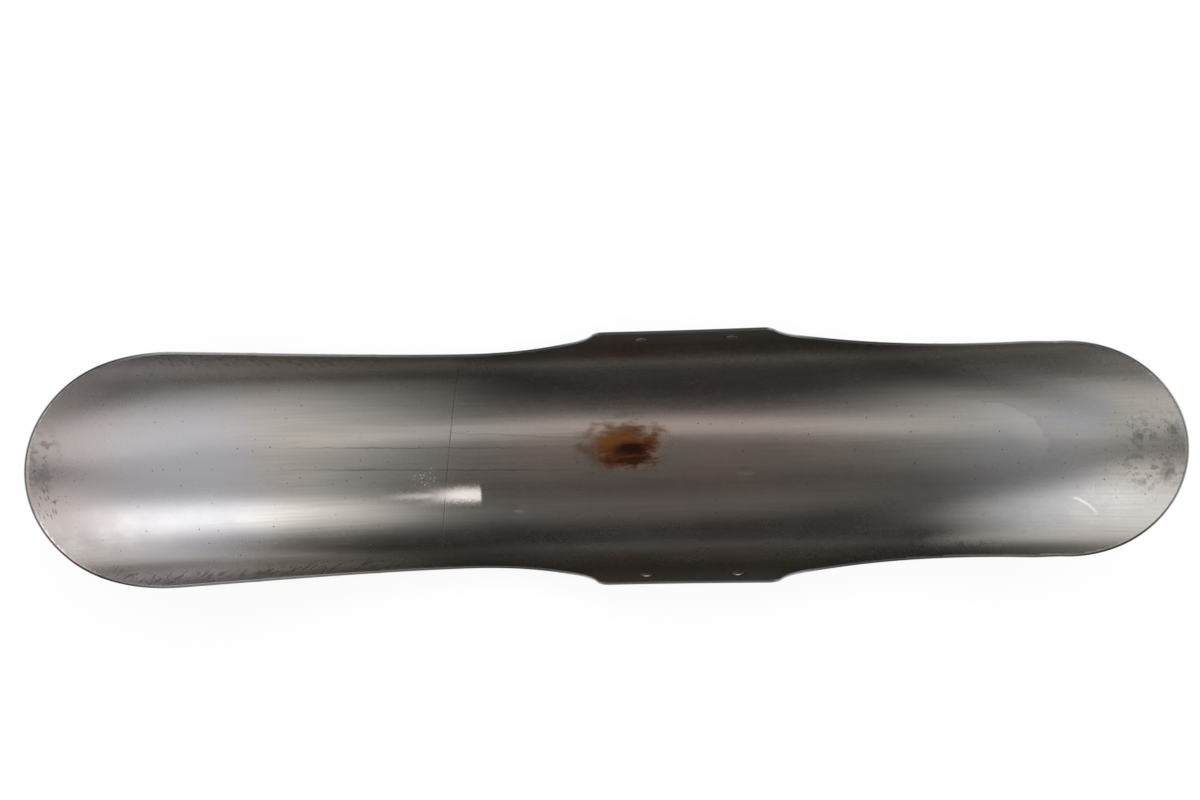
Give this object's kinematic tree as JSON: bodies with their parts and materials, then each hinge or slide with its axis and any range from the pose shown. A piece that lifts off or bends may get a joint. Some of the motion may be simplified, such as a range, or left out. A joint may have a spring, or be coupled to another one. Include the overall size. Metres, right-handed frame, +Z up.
{
  "type": "motorcycle front fender",
  "caption": "Trough-shaped motorcycle front fender pressed from bare steel sheet, curved to the wheel, with rounded ends and upright fork ears with bolt holes.",
  "frame": {"origin": "bottom centre of the fender's box, on the ground under the crown it lies on", "axes": "+X forward along the fender's length, +Y across it, +Z up out of the hollow side"},
  "size_m": [0.5934, 0.1388, 0.1581],
  "materials": {
    "raw_steel": "bare rolled sheet steel, satin, with oil film, handling marks and a rust spot"
  },
  "bodies": {
    "root": {"front_fender": "raw_steel"}
  },
  "joints": []
}
